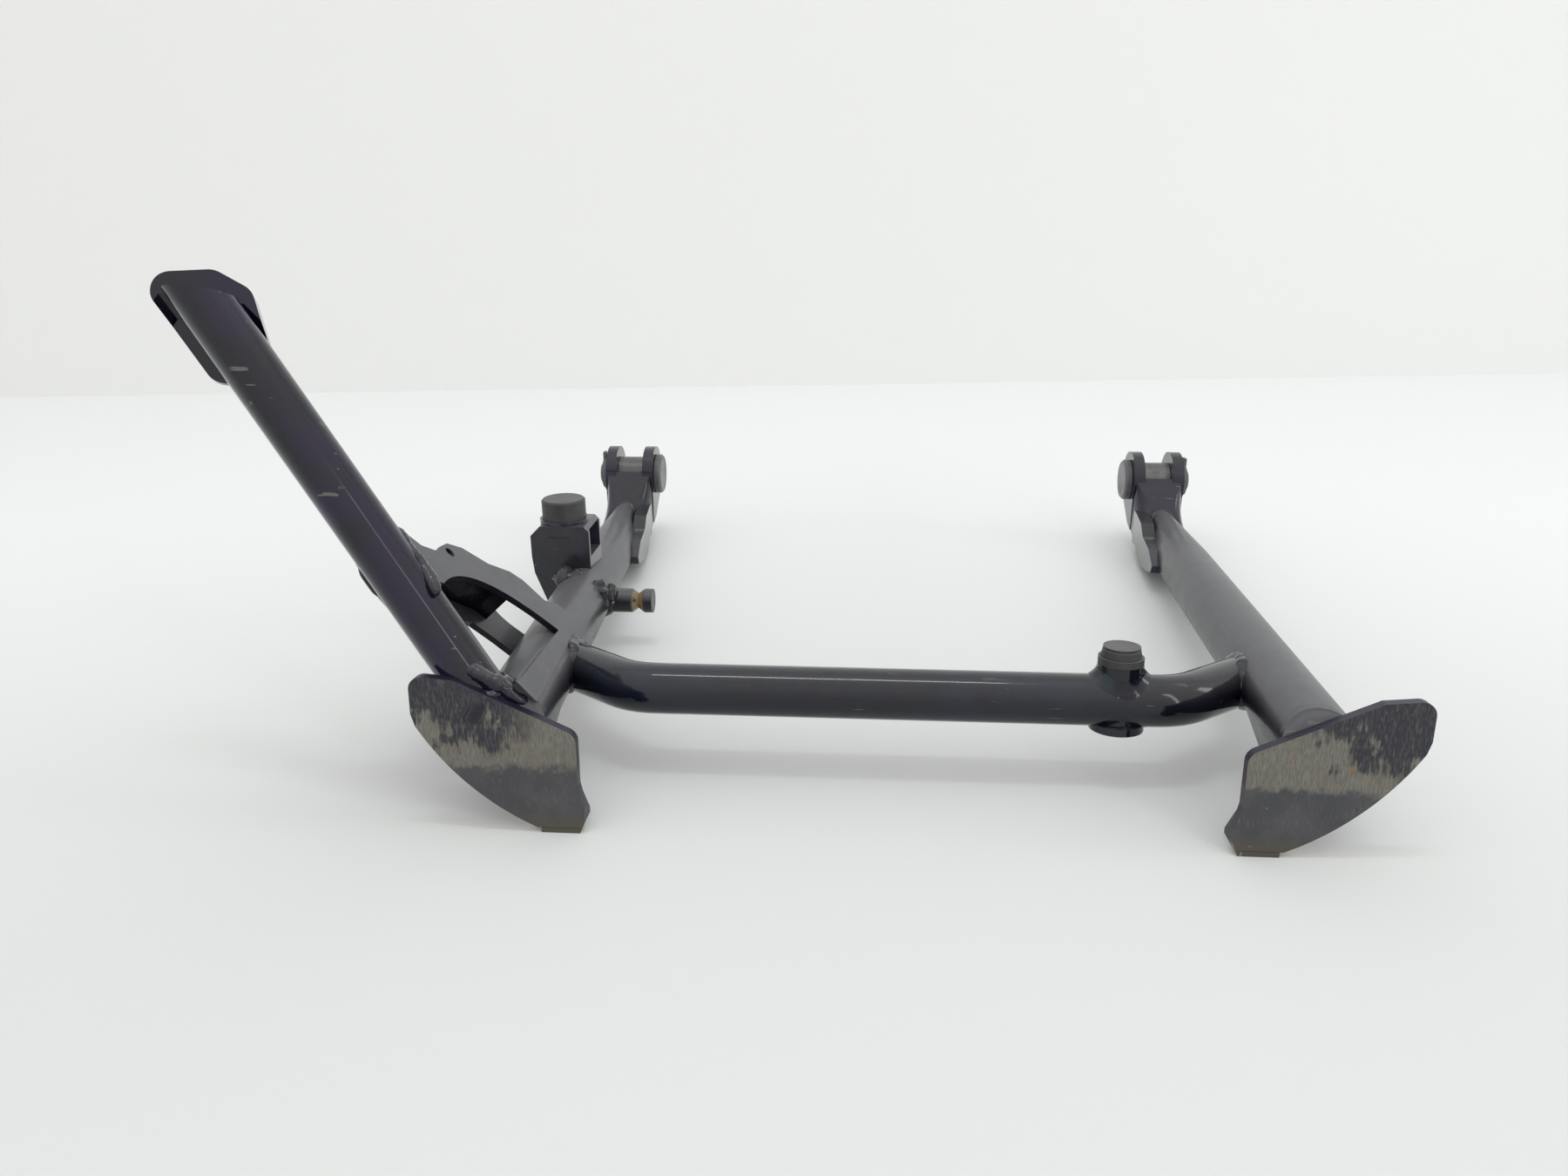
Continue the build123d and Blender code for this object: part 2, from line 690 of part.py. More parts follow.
with BuildPart() as stop_bracket:
    with BuildSketch(bracket_plane):
        with BuildLine():
            Polyline(*bracket_outline, close=True)
        make_face()
    extrude(amount=bracket_depth)
    with BuildSketch(bracket_plane.offset(bracket_sheet)):
        with BuildLine():
            Polyline(
                (bracket_inner_width - bracket_sheet, main_stop_base_height),
                (bracket_outer_width - bracket_sheet, main_stop_base_height),
                (bracket_outer_width - bracket_sheet, bracket_top_height - bracket_corner),
                (bracket_outer_width - bracket_corner, bracket_top_height - bracket_sheet),
                (bracket_inner_width - bracket_sheet, bracket_top_height - bracket_sheet),
                close=True,
            )
            Polyline(
                (bracket_inner_width - bracket_sheet, main_stop_base_height - bracket_sheet),
                (bracket_outer_width - bracket_sheet, main_stop_base_height - bracket_sheet),
                (bracket_heel_width - bracket_sheet, bracket_heel_height),
                (bracket_foot_width - bracket_sheet, 0),
                (bracket_inner_width - bracket_sheet, 0),
                close=True,
            )
        make_face()
    extrude(amount=bracket_depth - 2 * bracket_sheet, mode=Mode.SUBTRACT)
    with BuildSketch(Plane.XY.offset(shelf_z)):
        with Locations(stop_centre):
            Circle(cup_radius)
    extrude(amount=cup_depth)
    with BuildSketch(Plane.XY.offset(shelf_z)):
        with Locations(stop_centre):
            Circle(cup_radius - stop_cup_wall)
    extrude(amount=cup_depth, mode=Mode.SUBTRACT)
    with BuildSketch(bracket_plane):
        with Locations((main_stop_offset, stop_slot_height)):
            Rectangle(stop_slot_width, stop_slot_depth)
    extrude(amount=stop_cup_wall / 2, mode=Mode.SUBTRACT)
    add(left_leg_bar, mode=Mode.SUBTRACT)

with BuildPart() as main_stop:
    with BuildSketch(Plane.XY.offset(shelf_z)):
        with Locations(stop_centre):
            Circle(main_stop_radius)
    extrude(amount=main_stop_top_height - main_stop_base_height)
    chamfer(main_stop.edges().group_by(Axis.Z)[-1], length=stop_chamfer)

# Spring post: a round stud from the left leg with a waisted groove for the spring's hook
post_root = mirrored(leg_point(spring_post_y))
post_plane = Plane(
    origin=(post_root.X, spring_post_y, floor_z + spring_post_height), x_dir=(1, 0, 0), z_dir=(0, -1, 0)
)
groove_middle = (spring_post_neck_start + spring_post_neck_end) / 2
with BuildPart() as spring_post:
    with BuildSketch(post_plane):
        with BuildLine():
            Polyline(
                (0, 0),
                (spring_post_length, 0),
                (spring_post_length, spring_post_radius),
                (spring_post_neck_end, spring_post_radius),
                (groove_middle, spring_post_neck_radius),
                (spring_post_neck_start, spring_post_radius),
                (0, spring_post_radius),
                close=True,
            )
        make_face()
    revolve(axis=Axis(post_plane.origin, post_plane.x_dir))
    add(left_leg_bar, mode=Mode.SUBTRACT)

pieces = {
    "leg_right": leg_right,
    "leg_left": leg_left,
    "cross_tube": cross_tube,
    "stop_boss": stop_boss,
    "small_stop": small_stop,
    "clevis_right": clevis_right,
    "clevis_left": clevis_left,
    "pivot_pin_right": pivot_pin_right,
    "pivot_pin_left": pivot_pin_left,
    "distance_bush_right": distance_bush_right,
    "distance_bush_left": distance_bush_left,
    "washer_right": washer_right,
    "washer_left": washer_left,
    "retaining_clip_right": retaining_clip_right,
    "retaining_clip_left": retaining_clip_left,
    "foot_sole_right": foot_sole_right,
    "foot_sole_left": foot_sole_left,
    "foot_rib_right": foot_rib_right,
    "foot_rib_left": foot_rib_left,
    "kick_arm": kick_arm,
    "pedal_plate": pedal_plate,
    "gusset_front": gusset_front,
    "gusset_rear": gusset_rear,
    "stop_bracket": stop_bracket,
    "main_stop": main_stop,
    "spring_post": spring_post,
}
for name, piece in pieces.items():
    piece.part.label = name
    export_step(piece.part, f"parts/{name}.step")
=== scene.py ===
"""Looks of the motorcycle centre stand: paint, worn steel, rubber, weld beads, a pale studio and the camera.

Lengths are in metres in the part's frame. The origin is the middle of the pivot axis. +X runs along that axis
away from the kick arm, +Y runs from the feet to the pivots, and the table is at FLOOR_Z. Sizes written in
millimetres are scaled by MM.
"""
import json
import math

import bmesh
import bpy
from mathutils import Matrix, Vector, noise


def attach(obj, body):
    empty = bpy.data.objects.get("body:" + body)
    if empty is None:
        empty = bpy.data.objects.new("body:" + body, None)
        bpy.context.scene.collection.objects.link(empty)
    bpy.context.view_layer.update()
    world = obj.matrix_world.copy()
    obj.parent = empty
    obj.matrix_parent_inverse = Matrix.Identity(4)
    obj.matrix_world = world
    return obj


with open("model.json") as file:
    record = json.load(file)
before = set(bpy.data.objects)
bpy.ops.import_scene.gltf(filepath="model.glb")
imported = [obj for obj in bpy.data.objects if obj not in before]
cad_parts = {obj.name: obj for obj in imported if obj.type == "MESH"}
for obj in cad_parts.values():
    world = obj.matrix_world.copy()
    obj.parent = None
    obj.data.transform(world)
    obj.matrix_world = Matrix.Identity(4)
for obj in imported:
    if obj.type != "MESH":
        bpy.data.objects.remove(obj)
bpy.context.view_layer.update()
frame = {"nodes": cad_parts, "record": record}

MM = 0.001
FULL_TURN = 2 * math.pi
FLOOR_Z = -42 * MM
SIDES = ((1, "right"), (-1, "left"))
ALONG_X = Vector((1, 0, 0))

# ---------------------------------------------------------------- camera
CAMERA_PLACE = Vector((-0.01587, -0.7338, 0.18214))
CAMERA_YAW = math.radians(4.20)
CAMERA_PITCH = math.radians(19.56)
CAMERA_ROLL = math.radians(-0.29)
CAMERA_LENS = 26.18
SENSOR_WIDTH = 36.0
NEAREST_SEEN = 0.01


def add_camera():
    data = bpy.data.cameras.new("camera")
    data.lens = CAMERA_LENS
    data.sensor_width = SENSOR_WIDTH
    data.clip_start = NEAREST_SEEN
    camera = bpy.data.objects.new("camera", data)
    turn = (
        Matrix.Rotation(CAMERA_YAW, 3, "Z")
        @ Matrix.Rotation(math.pi / 2 - CAMERA_PITCH, 3, "X")
        @ Matrix.Rotation(CAMERA_ROLL, 3, "Z")
    )
    camera.matrix_world = Matrix.Translation(CAMERA_PLACE) @ turn.to_4x4()
    bpy.context.scene.collection.objects.link(camera)
    bpy.context.scene.camera = camera


# ---------------------------------------------------------------- node graphs
class Graph:
    """A material's nodes, wired by short calls that return output sockets."""

    MIX_FIRST, MIX_SECOND, MIX_RESULT = 6, 7, 2  # the mix node's colour sockets

    def __init__(self, name, roughness=0.4, specular=0.5, coat=0.0, coat_roughness=0.1, metallic=0.0):
        self.material = bpy.data.materials.new(name)
        self.material.use_nodes = True
        self.nodes = self.material.node_tree.nodes
        self.links = self.material.node_tree.links
        self.shader = self.nodes["Principled BSDF"]
        self.shader.inputs["Roughness"].default_value = roughness
        self.shader.inputs["Specular IOR Level"].default_value = specular
        self.shader.inputs["Coat Weight"].default_value = coat
        self.shader.inputs["Coat Roughness"].default_value = coat_roughness
        self.shader.inputs["Metallic"].default_value = metallic
        self.place = self.nodes.new("ShaderNodeTexCoord").outputs["Object"]
        self.x, self.y, self.z = self.axes(self.place)
        normal = self.nodes.new("ShaderNodeNewGeometry").outputs["Normal"]
        _, self.normal_y, self.normal_z = self.axes(normal)

    def axes(self, vector):
        node = self.nodes.new("ShaderNodeSeparateXYZ")
        self.links.new(vector, node.inputs[0])
        return node.outputs

    def set(self, socket, value):
        if isinstance(value, bpy.types.NodeSocket):
            self.links.new(value, socket)
        elif isinstance(value, tuple) and len(value) == 3 and socket.type == "RGBA":
            socket.default_value = (*value, 1)
        else:
            socket.default_value = value

    def math(self, operation, first, second=0.0):
        node = self.nodes.new("ShaderNodeMath")
        node.operation = operation
        self.set(node.inputs[0], first)
        self.set(node.inputs[1], second)
        return node.outputs[0]

    def plus(self, first, second):
        return self.math("ADD", first, second)

    def minus(self, first, second):
        return self.math("SUBTRACT", first, second)

    def times(self, first, second):
        return self.math("MULTIPLY", first, second)

    def size(self, value):
        return self.math("ABSOLUTE", value)

    def wander(self, value, amount):
        """Noise turned into a shift of up to half of amount either way."""
        return self.times(self.minus(value, 0.5), amount)

    def between(self, value, low, high):
        """0 below low, 1 above high and smooth between them."""
        node = self.nodes.new("ShaderNodeMapRange")
        node.interpolation_type = "SMOOTHSTEP"
        self.set(node.inputs["Value"], value)
        self.set(node.inputs["From Min"], low)
        self.set(node.inputs["From Max"], high)
        return node.outputs["Result"]

    def noise(self, scale, detail=3.0, stretch=None, turn=(0, 0, 0)):
        """Noise with about scale lumps to the metre; a stretch under 1 draws them out along that axis."""
        vector = self.place
        if stretch:
            mapping = self.nodes.new("ShaderNodeMapping")
            self.set(mapping.inputs["Vector"], vector)
            mapping.inputs["Rotation"].default_value = turn
            mapping.inputs["Scale"].default_value = stretch
            vector = mapping.outputs[0]
        node = self.nodes.new("ShaderNodeTexNoise")
        self.set(node.inputs["Vector"], vector)
        node.inputs["Scale"].default_value = scale
        node.inputs["Detail"].default_value = detail
        return node.outputs["Fac"]

    def mix(self, factor, first, second):
        node = self.nodes.new("ShaderNodeMix")
        node.data_type = "RGBA"
        self.set(node.inputs["Factor"], factor)
        self.set(node.inputs[self.MIX_FIRST], first)
        self.set(node.inputs[self.MIX_SECOND], second)
        return node.outputs[self.MIX_RESULT]

    def scratches(self, scale, level=0.68, turn=(0, 0, 0), stretch=(1, 9, 9)):
        """Thin broken lines along one direction."""
        lines = self.noise(scale, 2.0, stretch, turn)
        gaps = self.noise(scale * 0.8, 1.0)
        return self.times(self.between(lines, level, level + 0.03), self.between(gaps, 0.52, 0.66))

    def specks(self, scale, level):
        """Small round chips."""
        return self.between(self.noise(scale, 1.0), level, level + 0.03)

    def colour(self, value):
        self.set(self.shader.inputs["Base Color"], value)

    def rough(self, value):
        self.set(self.shader.inputs["Roughness"], value)

    def bump(self, height, depth, strength=0.6):
        node = self.nodes.new("ShaderNodeBump")
        node.inputs["Strength"].default_value = strength
        node.inputs["Distance"].default_value = depth
        self.set(node.inputs["Height"], height)
        self.links.new(node.outputs[0], self.shader.inputs["Normal"])


# ---------------------------------------------------------------- studio
WALL_LEFT = (-4.0, 0.077)
WALL_RIGHT = (4.0, 1.159)
WALL_TOP = 3.0
TABLE_FRONT = -4.0
WALL_PALE = (0.87, 0.87, 0.86)
# painted light falloff on the table: shaded near the camera, lit far off and towards the sides
TABLE_NEAR_SHADED = (0.765, 0.773, 0.765)
TABLE_FAR_LIT = (0.890, 0.902, 0.895)
TABLE_LIGHT_FALLOFF = (-0.40, 0.40)
TABLE_SIDE_SHARE = 0.6
SKY_HEIGHTS = (0.05, 0.75)
SKY_LEVELS = (0.82, 0.95)
# name, place, target, size, power, colour
LAMPS = (
    ("ceiling", (0.0, 0.0, 1.9), (0, -0.1, 0), (2.4, 2.4), 2, (1, 1, 1)),
    ("window", (1.7, -0.3, 0.7), (0, -0.3, 0), (0.3, 1.0), 3, (0.95, 0.98, 1.0)),
    ("front_window", (0.95, -1.5, 0.85), (-0.1, -0.3, 0), (0.13, 1.2), 2.2, (0.97, 0.99, 1.0)),
    ("strip", (-0.09, -0.45, 1.85), (-0.09, -0.35, 0), (0.72, 0.08), 3.0, (0.93, 1.0, 0.98)),
)


def add_plane(name, corners, material):
    mesh = bpy.data.meshes.new(name)
    mesh.from_pydata(corners, [], [tuple(range(len(corners)))])
    plane = bpy.data.objects.new(name, mesh)
    plane.data.materials.append(material)
    bpy.context.scene.collection.objects.link(plane)


def add_table():
    """Table painted paler away from the camera and out to its sides, a painted light falloff, up to the foot
    of the wall.
    """
    graph = Graph("table_white", roughness=0.9, specular=0.1)
    aside = graph.times(graph.size(graph.x), TABLE_SIDE_SHARE)
    # painted light falloff: paler with distance from the camera and out to the sides
    away = graph.between(graph.plus(graph.y, aside), *TABLE_LIGHT_FALLOFF)
    graph.colour(graph.mix(away, TABLE_NEAR_SHADED, TABLE_FAR_LIT))
    left, right = WALL_LEFT[0], WALL_RIGHT[0]
    front = [(left, TABLE_FRONT, FLOOR_Z), (right, TABLE_FRONT, FLOOR_Z)]
    add_plane("table", front + [(*WALL_RIGHT, FLOOR_Z), (*WALL_LEFT, FLOOR_Z)], graph.material)


def add_wall():
    graph = Graph("wall_white", roughness=0.9, specular=0.1)
    graph.colour(WALL_PALE)
    foot = [(*WALL_LEFT, FLOOR_Z), (*WALL_RIGHT, FLOOR_Z)]
    add_plane("wall", foot + [(*WALL_RIGHT, WALL_TOP), (*WALL_LEFT, WALL_TOP)], graph.material)


def add_sky():
    """Room light: a little dimmer at eye level than overhead."""
    world = bpy.data.worlds.new("studio")
    bpy.context.scene.world = world
    world.use_nodes = True
    nodes, links = world.node_tree.nodes, world.node_tree.links
    axes = nodes.new("ShaderNodeSeparateXYZ")
    links.new(nodes.new("ShaderNodeTexCoord").outputs["Generated"], axes.inputs[0])
    level = nodes.new("ShaderNodeMapRange")
    level.interpolation_type = "SMOOTHSTEP"
    level.inputs["From Min"].default_value, level.inputs["From Max"].default_value = SKY_HEIGHTS
    level.inputs["To Min"].default_value, level.inputs["To Max"].default_value = SKY_LEVELS
    links.new(axes.outputs["Z"], level.inputs["Value"])
    links.new(level.outputs["Result"], nodes["Background"].inputs["Strength"])
    nodes["Background"].inputs["Color"].default_value = (1.0, 1.0, 1.0, 1)


def add_lamp(name, place, target, size, power, colour):
    data = bpy.data.lights.new(name, "AREA")
    data.shape = "RECTANGLE"
    data.size, data.size_y = size
    data.energy = power
    data.color = colour
    lamp = bpy.data.objects.new(name, data)
    lamp.location = place
    lamp.rotation_euler = (Vector(target) - Vector(place)).to_track_quat("-Z", "Y").to_euler()
    bpy.context.scene.collection.objects.link(lamp)


def add_studio():
    add_table()
    add_wall()
    add_sky()
    for lamp in LAMPS:
        add_lamp(*lamp)
    bpy.context.scene.view_settings.view_transform = "Standard"


# ---------------------------------------------------------------- materials
NAVY = (0.0050, 0.0052, 0.0105)
SOFT_NAVY = (0.012, 0.012, 0.020)
BEAD_NAVY = (0.009, 0.009, 0.018)
DEEP_BLUE = (0.006, 0.009, 0.020)
VIOLET = (0.0090, 0.0042, 0.0240)
# teal for fine paint flecks, and for painted glints on weld beads
TEAL_FLECK_AND_GLINT = (0.010, 0.020, 0.026)
# grey laid on upward faces: a dusting and painted top light
DUST_AND_LIT_TOP_GREY = (0.150, 0.150, 0.157)
BARE = (0.24, 0.225, 0.20)
TAN = (0.34, 0.28, 0.19)
RUST = (0.26, 0.12, 0.04)
BRIGHT_PIT = (0.42, 0.44, 0.46)
BRASSY = (0.23, 0.17, 0.08)

SOLE_STEEL_DARK = (0.115, 0.110, 0.092)
SOLE_STEEL = (0.180, 0.173, 0.143)
SOLE_STAIN = (0.135, 0.122, 0.090)
SOLE_SHINE = (0.29, 0.285, 0.255)
SOLE_SCRATCH = (0.30, 0.29, 0.26)
SOLE_CHIP = (0.28, 0.28, 0.27)
TOP_PAINT = (0.014, 0.014, 0.022)
TOP_PAINT_RUBBED = (0.060, 0.057, 0.062)
LOW_PAINT_DARK = (0.046, 0.046, 0.053)
LOW_PAINT = (0.064, 0.063, 0.069)
LOW_PAINT_RUBBED = (0.12, 0.115, 0.105)
GRIME = (0.085, 0.074, 0.042)
EDGE_PAINT = (0.014, 0.011, 0.028)
ROLLING_EDGE = (0.22, 0.18, 0.09)
SOLE_MIDDLE_X = 142 * MM
WORN_HEIGHTS = (23.8 * MM, 27.2 * MM)
WORN_EDGE_WANDER = 9 * MM
PAINTED_HEIGHTS = (37.0 * MM, 47.5 * MM)
PAINTED_WIDTHS = (-18 * MM, 4 * MM)
GRIME_HEIGHTS = (2 * MM, 10 * MM)

RUBBER_DARK = (0.040, 0.039, 0.041)
RUBBER_BLOOM = (0.066, 0.065, 0.068)
# lighter rubber for upward faces: painted top light
RUBBER_LIT_TOP = (0.145, 0.144, 0.150)
RUBBER_SCUFF = (0.2, 0.2, 0.2)
PIN_DARK, PIN_LIGHT = (0.085, 0.085, 0.09), (0.16, 0.16, 0.165)
BUSH_DARK, BUSH_LIGHT = (0.10, 0.10, 0.10), (0.22, 0.215, 0.21)
GROOVE_X = -129.7 * MM
GROOVE_HALF_WIDTHS = (2.2 * MM, 3.4 * MM)
SMOOTH_ANGLE = math.radians(32)


def dark_paint(name, tint, dust_and_lit_top, roughness, coat, worn, lowest=-0.10):
    """Gloss paint with drifting tints, scuffs, chips, and a grey layer on faces whose normal's Z is over
    lowest, partly a dusting and partly painted top light.
    """
    graph = Graph(name, roughness, specular=0.25, coat=coat, coat_roughness=0.04)
    colour = graph.mix(graph.between(graph.noise(38, 4.0), 0.42, 0.66), NAVY, tint)
    flecks = graph.times(graph.between(graph.noise(900, 2.0), 0.60, 0.76), 0.25)
    colour = graph.mix(flecks, colour, TEAL_FLECK_AND_GLINT)
    mottle = graph.plus(graph.times(graph.noise(160, 4.0), 0.5), 0.72)
    # upward faces painted lighter: partly a dusting, partly painted top light from the overhead lamps
    dust_and_lit_top_layer = graph.times(graph.times(graph.between(graph.normal_z, lowest, 1.0), mottle), dust_and_lit_top)
    colour = graph.mix(dust_and_lit_top_layer, colour, DUST_AND_LIT_TOP_GREY)
    along = graph.scratches(60, turn=(0.3, 0.9, 0.5))
    across = graph.scratches(45, level=0.70, turn=(1.2, 0.2, 1.0))
    colour = graph.mix(graph.times(graph.math("MAXIMUM", along, across), worn), colour, BARE)
    graph.colour(graph.mix(graph.times(graph.specks(170, 0.83), min(1.0, worn * 2)), colour, TAN))
    haze = graph.times(graph.noise(70, 4.0), 0.12)
    graph.rough(graph.plus(graph.plus(haze, roughness - 0.06), graph.times(dust_and_lit_top_layer, 0.25)))
    graph.bump(graph.noise(300, 3.0), 0.07 * MM, strength=0.5)
    return graph.material


def sole_colour(graph, height, worn, left_paint, streaks, fine, blotch):
    """The sole's front: painted foot, worn steel band, and paint left at the top."""
    steel = graph.mix(graph.between(fine, 0.36, 0.66), SOLE_STEEL_DARK, SOLE_STEEL)
    steel = graph.mix(graph.times(graph.between(blotch, 0.40, 0.62), 0.5), steel, SOLE_STAIN)
    steel = graph.mix(graph.times(graph.between(streaks, 0.60, 0.72), 0.35), steel, SOLE_SHINE)
    steel = graph.mix(graph.times(graph.between(graph.noise(210, 2.0), 0.70, 0.76), 0.75), steel, RUST)
    top = graph.mix(graph.between(fine, 0.46, 0.66), TOP_PAINT, TOP_PAINT_RUBBED)
    low = graph.mix(graph.between(blotch, 0.4, 0.7), LOW_PAINT_DARK, LOW_PAINT)
    low = graph.mix(graph.times(graph.between(fine, 0.56, 0.70), 0.4), low, LOW_PAINT_RUBBED)
    colour = graph.mix(left_paint, graph.mix(worn, low, steel), top)
    grime = graph.times(graph.minus(1.0, graph.between(height, *GRIME_HEIGHTS)), 0.65)
    colour = graph.mix(grime, colour, GRIME)
    scratch = graph.scratches(70, turn=(0, 0.5, 0), stretch=(9, 9, 1))
    colour = graph.mix(graph.times(scratch, 0.5), colour, SOLE_SCRATCH)
    return graph.mix(graph.times(graph.specks(330, 0.78), 0.5), colour, SOLE_CHIP)


def sole_paint():
    """Dark paint worn through to brown-grey steel in a band, with upright streaks and paint left on top."""
    graph = Graph("worn_steel", roughness=0.40)
    height = graph.minus(graph.z, FLOOR_Z)
    width = graph.minus(graph.size(graph.x), SOLE_MIDDLE_X)
    streaks = graph.noise(150, 4.0, (6, 6, 0.7))
    fine = graph.noise(420, 4.0, (5, 5, 0.8))
    blotch = graph.noise(85, 4.0)
    # the worn band starts at a ragged line that falls a little outboard
    ragged = graph.plus(height, graph.wander(graph.noise(260, 5.0), WORN_EDGE_WANDER))
    worn = graph.between(graph.plus(ragged, graph.times(width, 0.03)), *WORN_HEIGHTS)
    # paint left at the top outboard, thinned by upright streaks
    rim = graph.plus(height, graph.times(width, 0.22))
    rim = graph.plus(rim, graph.wander(streaks, 32 * MM))
    rim = graph.plus(rim, graph.wander(blotch, 85 * MM))
    left_paint = graph.times(graph.between(rim, *PAINTED_HEIGHTS), graph.between(width, *PAINTED_WIDTHS))
    colour = sole_colour(graph, height, worn, left_paint, streaks, fine, blotch)
    # the plate's edges and back keep their paint, apart from the rolling edge
    front = graph.between(graph.times(graph.normal_y, -1.0), 0.55, 0.9)
    rolling = graph.between(graph.times(graph.normal_z, -1.0), 0.15, 0.4)
    graph.colour(graph.mix(front, graph.mix(rolling, EDGE_PAINT, ROLLING_EDGE), colour))
    dull = graph.plus(graph.times(worn, 0.14), graph.times(fine, 0.14))
    graph.rough(graph.minus(graph.plus(dull, 0.32), graph.times(left_paint, 0.14)))
    relief = graph.plus(graph.times(graph.times(fine, worn), 0.5), left_paint)
    graph.bump(relief, 0.18 * MM, strength=0.7)
    return graph.material


def weld_paint(name, tint, dust_and_lit_top):
    """Paint over a weld bead: gloss, with soft lumps, painted teal glints, a grey layer on upward faces that
    is partly a dusting and partly painted top light, and a few bright pits.
    """
    graph = Graph(name, roughness=0.14, specular=0.3, coat=0.3, coat_roughness=0.04)
    lumps = graph.noise(260, 2.0)
    colour = graph.mix(graph.between(lumps, 0.4, 0.7), NAVY, tint)
    # teal patches: painted glints
    colour = graph.mix(graph.between(graph.noise(90, 2.0), 0.60, 0.72), colour, TEAL_FLECK_AND_GLINT)
    # upward faces painted lighter: a dusting and painted top light
    colour = graph.mix(graph.times(graph.between(graph.normal_z, 0.1, 1.0), dust_and_lit_top), colour, DUST_AND_LIT_TOP_GREY)
    graph.colour(graph.mix(graph.specks(420, 0.80), colour, BRIGHT_PIT))
    graph.rough(graph.plus(graph.times(lumps, 0.12), 0.08))
    graph.bump(lumps, 0.4 * MM)
    return graph.material


def rubber():
    graph = Graph("stop_rubber", roughness=0.62, specular=0.35)
    bloom = graph.between(graph.noise(120, 4.0), 0.35, 0.7)
    colour = graph.mix(bloom, RUBBER_DARK, RUBBER_BLOOM)
    # upward faces painted lighter: painted top light
    colour = graph.mix(graph.times(graph.between(graph.normal_z, 0.6, 1.0), 0.75), colour, RUBBER_LIT_TOP)
    graph.colour(graph.mix(graph.times(graph.scratches(120, turn=(0, 0.4, 0.8)), 0.3), colour, RUBBER_SCUFF))
    graph.rough(graph.plus(graph.times(bloom, 0.15), 0.52))
    graph.bump(graph.noise(700, 3.0), 0.15 * MM)
    return graph.material


def steel(name, dark, light, roughness, metallic):
    """Stained steel with faint turning marks round the X axis."""
    graph = Graph(name, roughness, metallic=metallic)
    rings = graph.noise(300, 3.0, (0.4, 4, 4))
    stains = graph.between(graph.noise(95, 4.0), 0.38, 0.68)
    colour = graph.mix(graph.times(graph.plus(rings, stains), 0.5), dark, light)
    graph.colour(graph.mix(graph.times(graph.specks(300, 0.76), 0.6), colour, TAN))
    graph.rough(graph.plus(graph.times(stains, 0.2), roughness - 0.1))
    graph.bump(rings, 0.1 * MM)
    return graph.material


def post_steel():
    """Dark paint, with the groove rubbed to a brassy shine by the spring's hook."""
    graph = Graph("post_steel", roughness=0.35)
    stains = graph.noise(240, 3.0)
    from_groove = graph.size(graph.minus(graph.x, GROOVE_X))
    rubbed = graph.minus(1.0, graph.between(from_groove, *GROOVE_HALF_WIDTHS))
    rubbed = graph.times(rubbed, graph.between(stains, 0.3, 0.5))
    # upward faces painted lighter: a dusting and painted top light
    dust_and_lit_top_layer = graph.times(graph.between(graph.normal_z, 0.0, 1.0), 0.6)
    graph.colour(graph.mix(rubbed, graph.mix(dust_and_lit_top_layer, NAVY, DUST_AND_LIT_TOP_GREY), BRASSY))
    graph.rough(graph.plus(graph.times(stains, 0.2), 0.24))
    graph.bump(stains, 0.1 * MM)
    return graph.material


# The amount after each tint paints upward faces lighter: a dusting and painted top light together.
SATIN = dark_paint("frame_paint", SOFT_NAVY, dust_and_lit_top=0.72, roughness=0.28, coat=0.15, worn=0.3)
LEG_END = dark_paint("leg_end_paint", SOFT_NAVY, dust_and_lit_top=0.70, roughness=0.34, coat=0.0, worn=0.3, lowest=-1.5)
FRAME_BEAD = weld_paint("frame_bead", BEAD_NAVY, dust_and_lit_top=0.22)
ARM_BEAD = weld_paint("arm_bead", VIOLET, dust_and_lit_top=0.30)


def dress():
    """Give each node of the CAD model its material: its own one, or else its slot's."""
    # the amount after each tint again paints upward faces lighter: a dusting and painted top light
    folded = dark_paint("bracket_paint", VIOLET, 0.50, roughness=0.18, coat=0.40, worn=0.4, lowest=-0.55)
    sheen = dark_paint("clevis_paint", VIOLET, 0.16, roughness=0.18, coat=0.45, worn=0.4, lowest=-0.3)
    gloss = dark_paint("frame_gloss", DEEP_BLUE, dust_and_lit_top=0.17, roughness=0.12, coat=0.45, worn=0.25)
    slots = {
        "frame_paint": SATIN,
        "arm_paint": dark_paint("arm_paint", VIOLET, dust_and_lit_top=0.05, roughness=0.12, coat=0.5, worn=0.45),
        "worn_steel": sole_paint(),
        "pin_steel": steel("pin_steel", PIN_DARK, PIN_LIGHT, roughness=0.42, metallic=0.0),
        "bush_steel": steel("bush_steel", BUSH_DARK, BUSH_LIGHT, roughness=0.36, metallic=0.6),
        "post_steel": post_steel(),
        "stop_rubber": rubber(),
    }
    own = {
        "cross_tube": gloss,
        "stop_boss": gloss,
        "foot_rib_left": gloss,
        "foot_rib_right": gloss,
        "stop_bracket": folded,
        "clevis_left": sheen,
        "clevis_right": sheen,
    }
    for part in frame["record"]["subparts"]:
        node = frame["nodes"][part["node"]]
        node.data.materials.clear()
        node.data.materials.append(own.get(part["node"], slots[part["material_slot"]]))
        for polygon in node.data.polygons:
            polygon.use_smooth = True
        node.data.set_sharp_from_angle(angle=SMOOTH_ANGLE)


